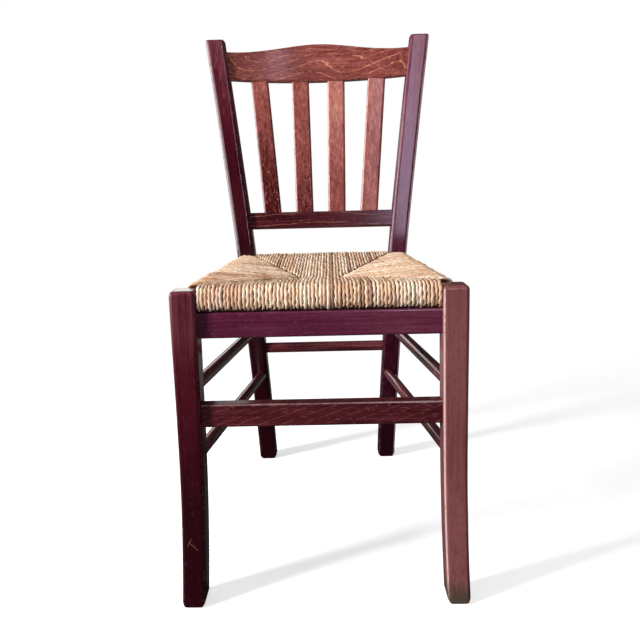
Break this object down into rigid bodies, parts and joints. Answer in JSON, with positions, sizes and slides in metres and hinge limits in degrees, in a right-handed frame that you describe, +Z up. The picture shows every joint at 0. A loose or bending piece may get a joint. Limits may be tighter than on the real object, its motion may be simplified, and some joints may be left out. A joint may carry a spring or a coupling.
{
  "type": "country chair",
  "caption": "Country dining chair of dark red stained wood, with curved legs, round side stretchers, a slatted leaning back under a humped crest rail, and a woven rush seat.",
  "frame": {"origin": "on the floor, under the middle of the chair's overall width and depth", "axes": "+Z up, +X to the right as seen from the front, +Y to the back; the chair faces -Y"},
  "size_m": [0.4438, 0.5392, 0.882],
  "materials": {
    "stained_wood": "semi-gloss stain",
    "rail_wood": "bare",
    "rush": "matte twisted rush"
  },
  "bodies": {
    "root": {"front_leg_left": "stained_wood", "front_leg_right": "stained_wood", "back_post_left": "stained_wood", "back_post_right": "stained_wood", "crest_rail": "stained_wood", "lower_back_rail": "stained_wood", "back_slat_1": "stained_wood", "back_slat_2": "stained_wood", "back_slat_3": "stained_wood", "back_slat_4": "stained_wood", "front_apron": "stained_wood", "front_stretcher": "stained_wood", "side_stretcher_upper_left": "stained_wood", "side_stretcher_upper_right": "stained_wood", "side_stretcher_lower_left": "stained_wood", "side_stretcher_lower_right": "stained_wood", "rear_stretcher": "stained_wood", "seat_rail_front": "rail_wood", "seat_rail_rear": "rail_wood", "seat_rail_left": "rail_wood", "seat_rail_right": "rail_wood", "rush_seat": "rush"}
  },
  "joints": []
}
